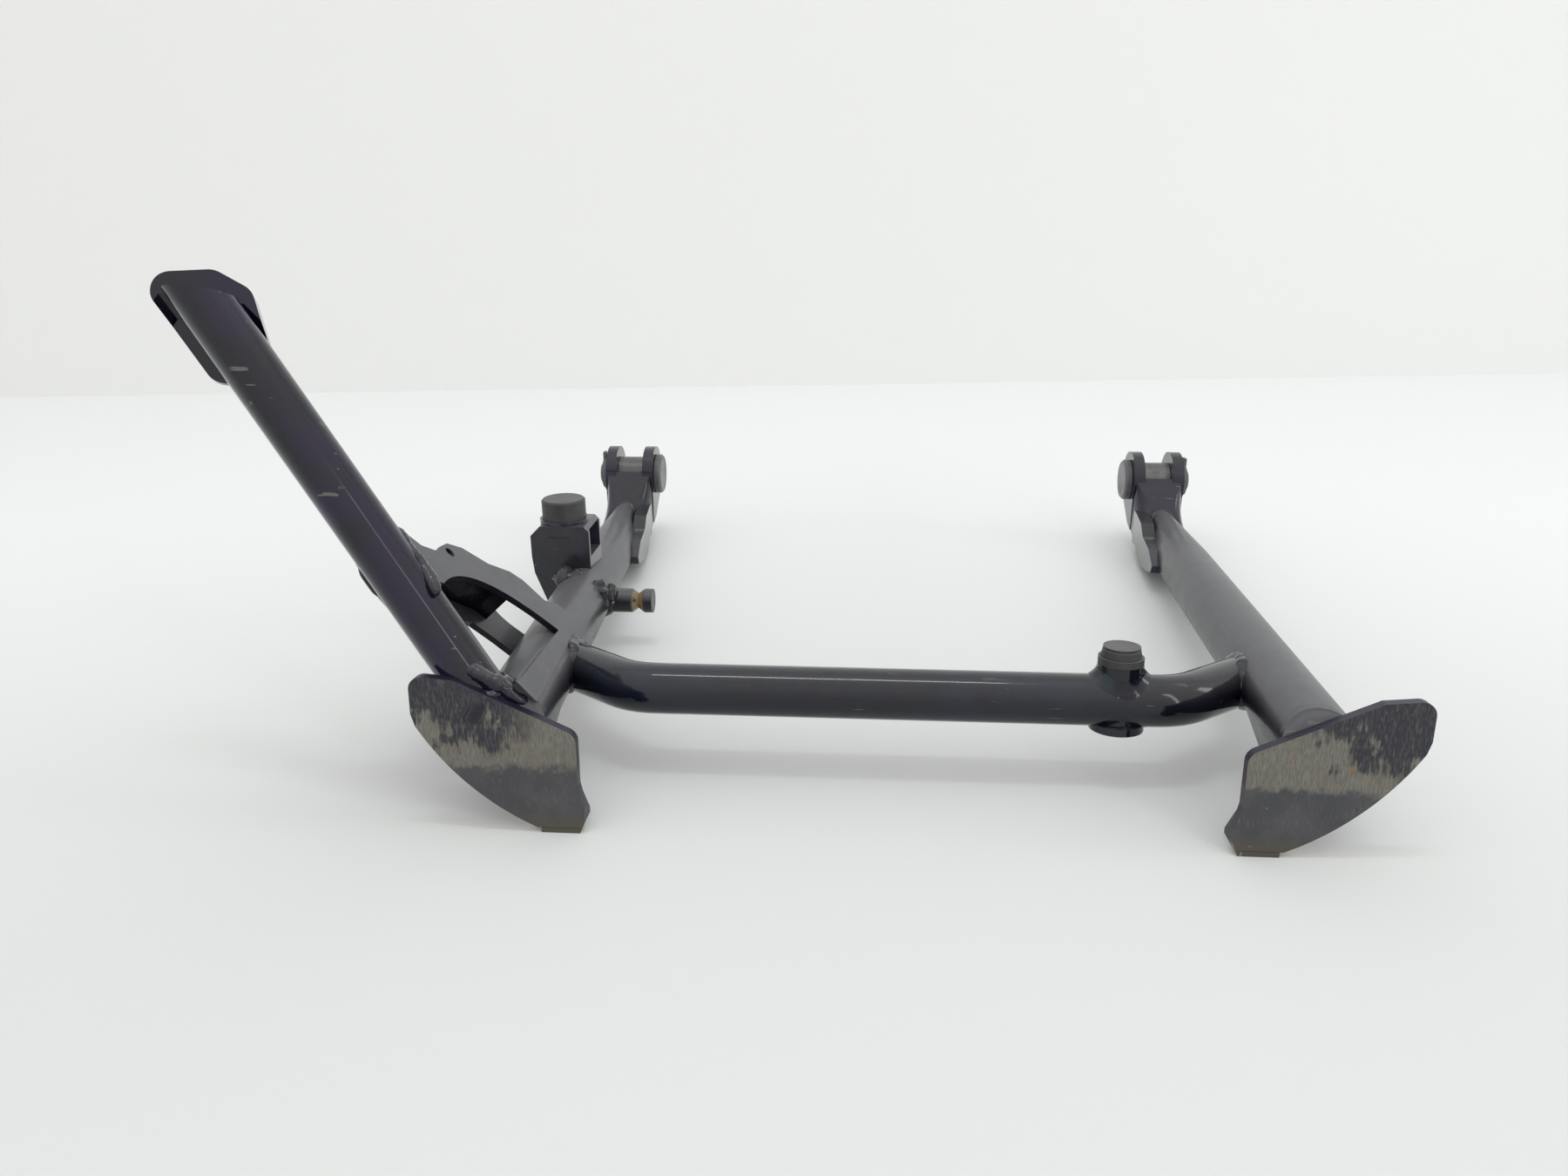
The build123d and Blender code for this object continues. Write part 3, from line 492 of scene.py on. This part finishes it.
# ---------------------------------------------------------------- the stand's lines
SLOPE = math.radians(4.2)
TOE_IN = math.radians(4.78)
LEG_TOP = Vector((171.4, -26.0, -28.0)) * MM
LEG_RADIUS = 14.0 * MM
UP = Vector((0, math.sin(SLOPE), math.cos(SLOPE)))
CROSS_DROP = 2.0 * MM
CROSS_RADIUS = 10.2 * MM
CROSS_Y = -322.3 * MM
CROSS_CORNER_X = 107.0 * MM
CROSS_JOINT_Y = -287.0 * MM
BOSS_X = 84.0 * MM
ARM_RADIUS = 9.8 * MM
ARM_VECTOR = Vector((-98.2, 27.6, 140.8)) * MM
ARM_BASE_Y = -363.0 * MM
ARM_OFFSET = Vector((-6.2, 0, 1.8)) * MM
POST_Y = -194.0 * MM
POST_Z = FLOOR_Z + 23.6 * MM
POST_RADIUS = 6.1 * MM
GUSSET_Y = -321.3 * MM
GUSSET_GAP = 0.6 * MM
GUSSET_FRONT_ANGLE = math.radians(-47.5)
GUSSET_REAR_ANGLE = math.radians(125.5)
SOLE_Y = -376.8 * MM
SOLE_THICKNESS = 4.0 * MM
SOLE_FORWARD = Vector((0, -math.cos(SLOPE), math.sin(SLOPE)))
SOLE_EDGE_INNER = (24.7 * MM, 38.4 * MM)
SOLE_EDGE_OUTER = (18.5 * MM, 58.2 * MM)


def leg_point(y, side=1):
    """Point on a leg's axis: side is 1 for the right leg and -1 for the left one."""
    back = LEG_TOP.y - y
    x = LEG_TOP.x - back * math.tan(TOE_IN)
    return Vector((side * x, y, LEG_TOP.z + back * math.tan(SLOPE)))


def leg_direction(side):
    return (leg_point(SOLE_Y, side) - leg_point(LEG_TOP.y, side)).normalized()


def leg_outboard(side):
    across = UP.cross(leg_direction(1))
    return Vector((side * across.x, across.y, across.z))


def around_leg(side, angle):
    """Direction out of a leg, turned by the angle from its top towards its outboard side."""
    return leg_outboard(side) * math.sin(angle) + UP * math.cos(angle)


def cross_point(x, y):
    """Point in the cross tube's plane from its own flat coordinates."""
    origin = Vector((0, 0, leg_point(0).z)) - UP * CROSS_DROP
    return origin + Vector((x, 0, 0)) + Vector((0, math.cos(SLOPE), -math.sin(SLOPE))) * y


def saddle(start, axis, radius, bar_point, bar_axis, bar_radius, steps=56):
    """Line where a tube that leaves a bar comes out of the bar's surface, and whether it closes."""
    across = axis.orthogonal().normalized()
    other = axis.cross(across)
    run, missed = [], None
    flat_axis = axis - bar_axis * axis.dot(bar_axis)
    for step in range(steps):
        angle = FULL_TURN * step / steps
        rim = start + (across * math.cos(angle) + other * math.sin(angle)) * radius
        offset = rim - bar_point
        offset -= bar_axis * offset.dot(bar_axis)
        a, b = flat_axis.dot(flat_axis), 2 * flat_axis.dot(offset)
        root = b * b - 4 * a * (offset.dot(offset) - bar_radius**2)
        if root < 0:
            missed = len(run)
            continue
        run.append(rim + axis * ((-b + math.sqrt(root)) / (2 * a)))
    if missed is not None:
        run = run[missed:] + run[:missed]
    return run, missed is None


def sole_lines(side):
    """A point on a sole's back, the two ends of its top edge, and the direction square to that edge."""
    back = Vector((0, SOLE_Y, FLOOR_Z)) - SOLE_FORWARD * SOLE_THICKNESS
    foot_x = leg_point(SOLE_Y).x
    inner = back + ALONG_X * side * (foot_x - SOLE_EDGE_INNER[0]) + UP * SOLE_EDGE_INNER[1]
    outer = back + ALONG_X * side * (foot_x + SOLE_EDGE_OUTER[0]) + UP * SOLE_EDGE_OUTER[1]
    rise = SOLE_FORWARD.cross((outer - inner).normalized()) * side
    return back, inner, outer, rise


def gusset_point(u, v, w, angle):
    """Point on a gusset sheet, from millimetres along the leg, up the sheet and out of it."""
    normal = around_leg(-1, angle)
    along = leg_direction(-1)
    up_sheet = (-normal if angle < 0 else normal).cross(along)
    origin = leg_point(GUSSET_Y, -1) + normal * (LEG_RADIUS + GUSSET_GAP)
    return origin + (along * u + up_sheet * v + normal * w) * MM


# ---------------------------------------------------------------- weld beads
BEAD_STEP = 0.9 * MM
BEAD_SIDES = 12
BEAD_SMOOTHING = 3
BEAD_END_STEPS = 5
BEAD_LUMP_LENGTH = 8.0 * MM
RIPPLE_PITCH = 2.6 * MM
BEAD_SINK = 1.3 * MM
POST_BEAD_SINK = 0.6 * MM

FLARE_LEVELS = 8
FLARE_SIDES = 40
FLARE_TOP_RADIUS = 8.75 * MM
FLARE_LENGTH_SPREAD = 4.2 * MM
FLARE_WIDTH_SPREAD = 1.2 * MM
FLARE_START = 0.1
FLARE_WAVE = 0.04
FLARES = ((1, "top", 5.5 * MM), (-1, "foot", 1.0 * MM))

FOOT_STEPS = 72
FOOT_START_Y = -330 * MM
FOOT_BEAD_SINK = 0.8 * MM
FOOT_BEAD_TRIM = 9
SLOPE_LEVELS = 8
SLOPE_LEAD = 3.0 * MM
SLOPE_LIFT = 0.05 * MM
SLOPE_CORNER = 0.65
SLOPE_CUT = 0.12
ARM_FILLET_STEPS = 8
ARM_FILLET_BACK = 2.8 * MM
ARM_FILLET_START = 0.42
ARM_FILLET_STRIDE = 0.08
ARM_FILLET_LIFT = 0.4 * MM
ARM_FILLET_CLIMB = 0.55 * MM

# in millimetres: how far out of its sheet a bead lies, and its line in the sheet's flat coordinates
GUSSET_FRONT_OUT = -0.6
GUSSET_FRONT_LINE = (
    (23.5, 80.5), (26.2, 75.5), (28.9, 69.5), (31.0, 63.5), (33.8, 58.0), (37.5, 54.0), (40.5, 51.5),
)
GUSSET_REAR_OUT = -1.6
GUSSET_REAR_LINE = ((28.5, 77.5), (30.6, 73.0), (31.4, 68.0), (31.6, 62.5))

BRACKET_BEAD_SINK = 1.8 * MM
# name, path as Y in millimetres and degrees round the leg from its top, radius, seed
BRACKET_BEADS = (
    ("bracket_bead", ((-197, 60), (-201, 45), (-205, 28), (-207, 10), (-208, -8)), 4.6 * MM, 4.4),
    ("post_root_bead", ((-207, -28), (-211, -44), (-215, -60), (-216, -78), (-214, -94)), 4.4 * MM, 7.1),
)

COLLAR_TOP = Vector((0, -28.0, -10.0)) * MM
COLLAR_FOOT = Vector((0, -45.0, -31.0)) * MM
COLLAR_Y = -34 * MM
COLLAR_X = 169.7 * MM
COLLAR_STEP = math.radians(8.2)
COLLAR_HALF_STEPS = 14
PINCH_HALF_WIDTH = 8.2 * MM
PINCH_HALF_HEIGHT = 15.0 * MM
PINCH_RISE = 0.5 * MM


def spaced(points, closed):
    """The same line with even, short steps and softened corners."""
    line = points + points[:1] if closed else points
    out = []
    for first, second in zip(line, line[1:]):
        count = max(1, round((second - first).length / BEAD_STEP))
        out += [first.lerp(second, step / count) for step in range(count)]
    if not closed:
        out.append(line[-1])
    for _ in range(BEAD_SMOOTHING):
        inner = range(len(out)) if closed else range(1, len(out) - 1)
        smooth = {i: (out[i - 1] + out[i] * 2 + out[(i + 1) % len(out)]) / 4 for i in inner}
        out = [smooth.get(i, point) for i, point in enumerate(out)]
    return out


def add_mesh(name, mesh, material):
    """Turn a bmesh into a smooth piece that rides on the stand."""
    bmesh.ops.recalc_face_normals(mesh, faces=mesh.faces)
    data = bpy.data.meshes.new(name)
    mesh.to_mesh(data)
    mesh.free()
    for polygon in data.polygons:
        polygon.use_smooth = True
    data.materials.append(material)
    piece = bpy.data.objects.new(name, data)
    bpy.context.scene.collection.objects.link(piece)
    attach(piece, "stand")


def join_rings(mesh, rings, closed=False):
    """Skin a run of rings, each a closed loop of vertices."""
    pairs = list(zip(rings, rings[1:])) + ([(rings[-1], rings[0])] if closed else [])
    for first, second in pairs:
        for step in range(len(first)):
            after = (step + 1) % len(first)
            mesh.faces.new((first[step], first[after], second[after], second[step]))


def add_bead(
    name, points, width, material, closed=False, lump=0.12, ripple=0.04, seed=0.0
):
    """A lumpy, rippled weld bead along the points, with width as its radius; an open one has round ends."""
    line = spaced(points, closed)
    last = len(line) - 1
    mesh = bmesh.new()
    rings = []
    side = None
    for i, centre in enumerate(line):
        before = line[i - 1] if closed or i else line[i]
        after = line[(i + 1) % len(line)] if closed or i < last else line[i]
        tangent = (after - before).normalized()
        side = tangent.orthogonal() if side is None else side - tangent * side.dot(tangent)
        side = side.normalized()
        other = tangent.cross(side)
        swell = 1 + lump * noise.noise(centre / BEAD_LUMP_LENGTH + Vector((seed, 0, 0)))
        swell += ripple * math.sin(FULL_TURN * i * BEAD_STEP / RIPPLE_PITCH)
        if not closed:
            swell *= math.sqrt(min(1.0, (min(i, last - i) + 0.4) / BEAD_END_STEPS))
        ring = []
        for step in range(BEAD_SIDES):
            angle = FULL_TURN * step / BEAD_SIDES
            out = side * math.cos(angle) + other * math.sin(angle)
            place = (centre + out * width) / (BEAD_LUMP_LENGTH / 2)
            bulge = 1 + lump * noise.noise(place + Vector((0, seed, 0)))
            ring.append(mesh.verts.new(centre + out * (width * swell * bulge)))
        rings.append(ring)
    join_rings(mesh, rings, closed)
    if not closed:
        mesh.faces.new(tuple(reversed(rings[0])))
        mesh.faces.new(tuple(rings[-1]))
    add_mesh(name, mesh, material)


def add_tube_beads():
    """Beads sunk into the corner between each tube or post and the leg that carries it."""
    for side, word in SIDES:
        joint = cross_point(side * leg_point(CROSS_JOINT_Y).x, CROSS_JOINT_Y)
        axis = (cross_point(side * CROSS_CORNER_X, CROSS_Y) - joint).normalized()
        leg = (leg_point(CROSS_JOINT_Y, side), leg_direction(side), LEG_RADIUS - BEAD_SINK)
        run, closed = saddle(joint, axis, CROSS_RADIUS - BEAD_SINK, *leg)
        name = f"cross_tube_bead_{word}"
        add_bead(name, run, 3.4 * MM, FRAME_BEAD, closed=closed, lump=0.3, seed=side * 3.1)
    arm_base = leg_point(ARM_BASE_Y, -1) + ARM_OFFSET
    leg = (leg_point(ARM_BASE_Y, -1), leg_direction(-1), LEG_RADIUS - BEAD_SINK)
    run, closed = saddle(arm_base, ARM_VECTOR.normalized(), ARM_RADIUS - BEAD_SINK, *leg)
    add_bead("arm_bead", run, 4.0 * MM, ARM_BEAD, closed, lump=0.3, seed=5.5)
    post_base = Vector((leg_point(POST_Y, -1).x, POST_Y, POST_Z))
    leg = (leg_point(POST_Y, -1), leg_direction(-1), LEG_RADIUS - POST_BEAD_SINK)
    run, closed = saddle(post_base, ALONG_X, POST_RADIUS - POST_BEAD_SINK, *leg)
    add_bead("post_bead", run, 3.0 * MM, FRAME_BEAD, closed=closed, lump=0.6, seed=8.0)


def add_boss_flares():
    """The weld's smooth slope from the cross tube to the stop's boss, above and below the tube."""
    boss = cross_point(BOSS_X, CROSS_Y)
    for sign, word, lift in FLARES:
        rise = UP * sign
        across = rise.cross(ALONG_X)
        mesh = bmesh.new()
        rings = []
        for level in range(FLARE_LEVELS + 1):
            share = level / FLARE_LEVELS
            spread = (1 - share) ** 2
            half_length = FLARE_TOP_RADIUS + FLARE_LENGTH_SPREAD * spread
            half_width = FLARE_TOP_RADIUS + FLARE_WIDTH_SPREAD * spread
            ring = []
            for step in range(FLARE_SIDES):
                angle = FULL_TURN * step / FLARE_SIDES
                wave = 1 + FLARE_WAVE * spread * math.sin(5 * angle + sign)
                along = half_length * wave * math.cos(angle)
                reach = half_width * wave * math.sin(angle)
                height = math.sqrt(max(0.0, CROSS_RADIUS**2 - reach**2)) + (share - FLARE_START) * lift
                ring.append(mesh.verts.new(boss + ALONG_X * along + across * reach + rise * height))
            rings.append(ring)
        join_rings(mesh, rings)
        add_mesh(f"boss_flare_{word}", mesh, FRAME_BEAD)


def leg_end_lines(side):
    """A leg's seam with its sole's back, and three-point curves from the leg's top to the sole's edge."""
    back, inner, outer, rise = sole_lines(side)
    bevel = (SOLE_FORWARD + rise).normalized()
    axis = leg_direction(side)
    seam = []
    slopes = []
    for step in range(FOOT_STEPS):
        angle = FULL_TURN * step / FOOT_STEPS
        out = around_leg(side, angle)
        rim = leg_point(FOOT_START_Y, side) + out * LEG_RADIUS
        to_sole = (back - rim).dot(SOLE_FORWARD) / axis.dot(SOLE_FORWARD)
        to_bevel = (inner - rim).dot(bevel) / axis.dot(bevel)
        at_sole = rim + axis * to_sole
        if to_sole <= to_bevel:
            seam.append(at_sole - out * FOOT_BEAD_SINK)
            continue
        start = rim + axis * (to_bevel - SLOPE_LEAD) + out * SLOPE_LIFT
        corner = rim + axis * (to_bevel * (1 - SLOPE_CORNER) + to_sole * SLOPE_CORNER)
        corner -= rise * (corner - inner).dot(rise) * SLOPE_CUT
        end = at_sole - rise * (at_sole - inner).dot(rise)
        slopes.append(((angle + math.pi) % FULL_TURN, start, corner, end))
    slopes.sort(key=lambda slope: slope[0])
    return seam, [slope[1:] for slope in slopes]


def add_leg_ends():
    """Each leg's end: a bead on its sole's back, and the slope that runs out to the sole's top edge."""
    for side, word in SIDES:
        seam, slopes = leg_end_lines(side)
        run = seam[FOOT_BEAD_TRIM:-FOOT_BEAD_TRIM]
        add_bead(f"leg_foot_bead_{word}", run, 2.0 * MM, FRAME_BEAD, seed=side * 2.0)
        if side < 0:
            add_arm_fillet(side)
        mesh = bmesh.new()
        rows = []
        for start, corner, end in slopes:
            row = []
            for level in range(SLOPE_LEVELS + 1):
                share = level / SLOPE_LEVELS
                place = start * (1 - share) ** 2 + corner * (2 * share * (1 - share)) + end * share**2
                row.append(mesh.verts.new(place))
            rows.append(row)
        for first, second in zip(rows, rows[1:]):
            for level in range(SLOPE_LEVELS):
                mesh.faces.new((first[level], first[level + 1], second[level + 1], second[level]))
        add_mesh(f"leg_end_{word}", mesh, LEG_END)


def add_arm_fillet(side):
    """Weld behind the sole's top edge, at the kick arm's root."""
    _, inner, outer, _ = sole_lines(side)
    fillet = []
    for step in range(ARM_FILLET_STEPS):
        lift = UP * (ARM_FILLET_LIFT + ARM_FILLET_CLIMB * step)
        place = inner.lerp(outer, ARM_FILLET_START + ARM_FILLET_STRIDE * step)
        fillet.append(place + lift - SOLE_FORWARD * ARM_FILLET_BACK)
    add_bead("arm_sole_bead", fillet, 3.6 * MM, ARM_BEAD, lump=0.3, seed=2.7)


def add_gusset_beads():
    """Beads between the kick arm and the two gusset sheets."""
    line = [gusset_point(u, v, GUSSET_FRONT_OUT, GUSSET_FRONT_ANGLE) for u, v in GUSSET_FRONT_LINE]
    add_bead("gusset_arm_bead", line, 2.6 * MM, ARM_BEAD, lump=0.16, seed=1.3)
    line = [gusset_point(u, v, GUSSET_REAR_OUT, GUSSET_REAR_ANGLE) for u, v in GUSSET_REAR_LINE]
    add_bead("gusset_rear_bead", line, 1.8 * MM, ARM_BEAD, lump=0.1, ripple=0.0, seed=6.3)


def add_bracket_beads():
    """Lumpy beads in front of the stop's bracket, over the leg's top, and below the spring post inboard."""
    for name, path, width, seed in BRACKET_BEADS:
        run = []
        for y, degrees in path:
            out = around_leg(-1, math.radians(degrees))
            run.append(leg_point(y * MM, -1) + out * (LEG_RADIUS - BRACKET_BEAD_SINK))
        add_bead(name, run, width, FRAME_BEAD, lump=0.8, ripple=0.0, seed=seed)


def add_clevis_beads():
    """The collar where each pinched leg enters its clevis."""
    rim_normal = ALONG_X.cross(COLLAR_TOP - COLLAR_FOOT).normalized()
    for side, word in SIDES:
        axis = leg_direction(side)
        across = leg_outboard(side)
        middle = leg_point(COLLAR_Y, side)
        middle.x = side * COLLAR_X
        run = []
        for step in range(-COLLAR_HALF_STEPS, COLLAR_HALF_STEPS + 1):
            angle = step * COLLAR_STEP
            rim = middle + across * math.sin(angle) * PINCH_HALF_WIDTH
            rim += UP * (PINCH_RISE + math.cos(angle) * PINCH_HALF_HEIGHT)
            run.append(rim + axis * ((COLLAR_TOP - rim).dot(rim_normal) / axis.dot(rim_normal)))
        add_bead(f"clevis_bead_{word}", run, 1.7 * MM, FRAME_BEAD, lump=0.15, seed=side * 7.0)


add_camera()
add_studio()
dress()
add_tube_beads()
add_boss_flares()
add_leg_ends()
add_gusset_beads()
add_bracket_beads()
add_clevis_beads()
